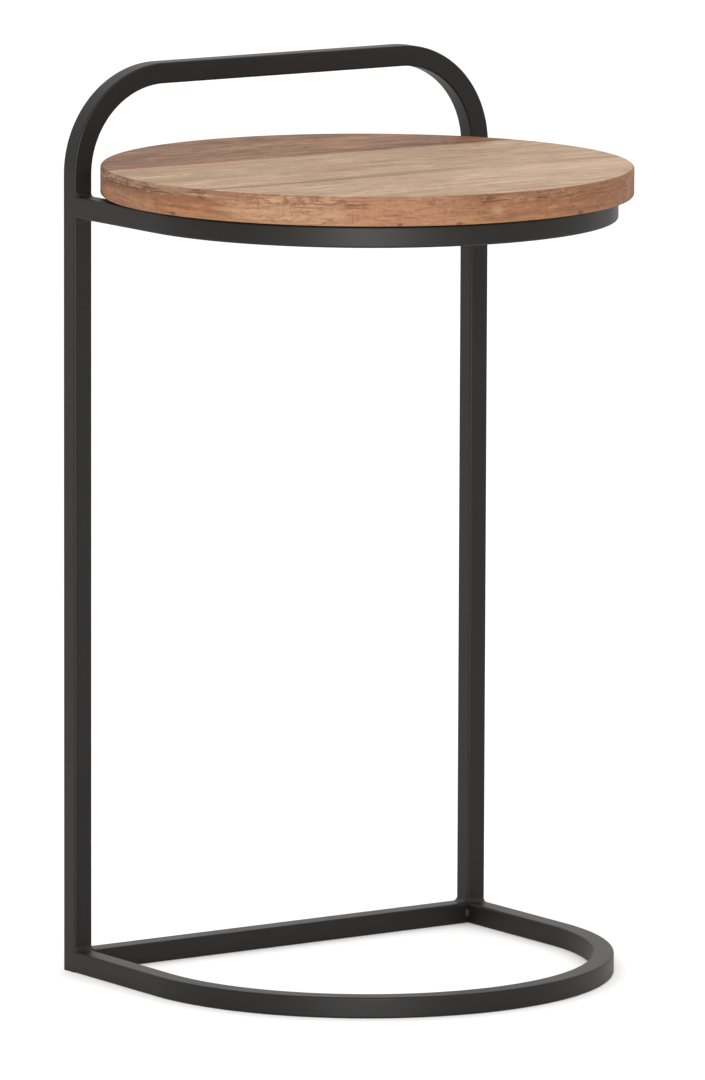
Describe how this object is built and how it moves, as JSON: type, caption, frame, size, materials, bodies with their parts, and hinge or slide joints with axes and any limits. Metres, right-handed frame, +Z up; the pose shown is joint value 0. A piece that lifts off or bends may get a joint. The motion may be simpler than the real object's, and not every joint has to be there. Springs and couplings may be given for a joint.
{
  "type": "c-shaped side table",
  "caption": "C-shaped side table: round wooden top on a black square-tube steel frame, with a bent-tube carrying handle at the back and a D-shaped floor base that slides under a seat.",
  "frame": {"origin": "on the floor, under the centre of the round top", "axes": "+Z up, -Y towards the open front of the C, +X along the handle to the right as seen from the front"},
  "size_m": [0.38, 0.38, 0.652],
  "materials": {
    "frame_coat": "satin black powder coat with a fine texture",
    "foot_plastic": "moulded black plastic",
    "screw_steel": "zinc plated",
    "back_wood": "oiled reclaimed hardwood, greyish brown",
    "middle_wood": "oiled reclaimed hardwood, light tan",
    "front_wood": "oiled reclaimed hardwood, pale tan"
  },
  "bodies": {
    "root": {"handle_frame": "frame_coat", "base_rail": "frame_coat", "base_bow": "frame_coat", "ring_bow": "frame_coat", "left_rail_weld": "frame_coat", "right_rail_weld": "frame_coat", "left_base_weld": "frame_coat", "right_base_weld": "frame_coat", "left_corner_weld": "frame_coat", "right_corner_weld": "frame_coat", "left_ring_top_weld": "frame_coat", "right_ring_top_weld": "frame_coat", "left_ring_under_weld": "frame_coat", "right_ring_under_weld": "frame_coat", "left_leg_tab": "frame_coat", "right_leg_tab": "frame_coat", "left_front_tab": "frame_coat", "right_front_tab": "frame_coat", "left_foot_plug": "foot_plastic", "right_foot_plug": "foot_plastic", "top_screws": "screw_steel", "back_board": "back_wood", "middle_board": "middle_wood", "front_board": "front_wood"}
  },
  "joints": []
}
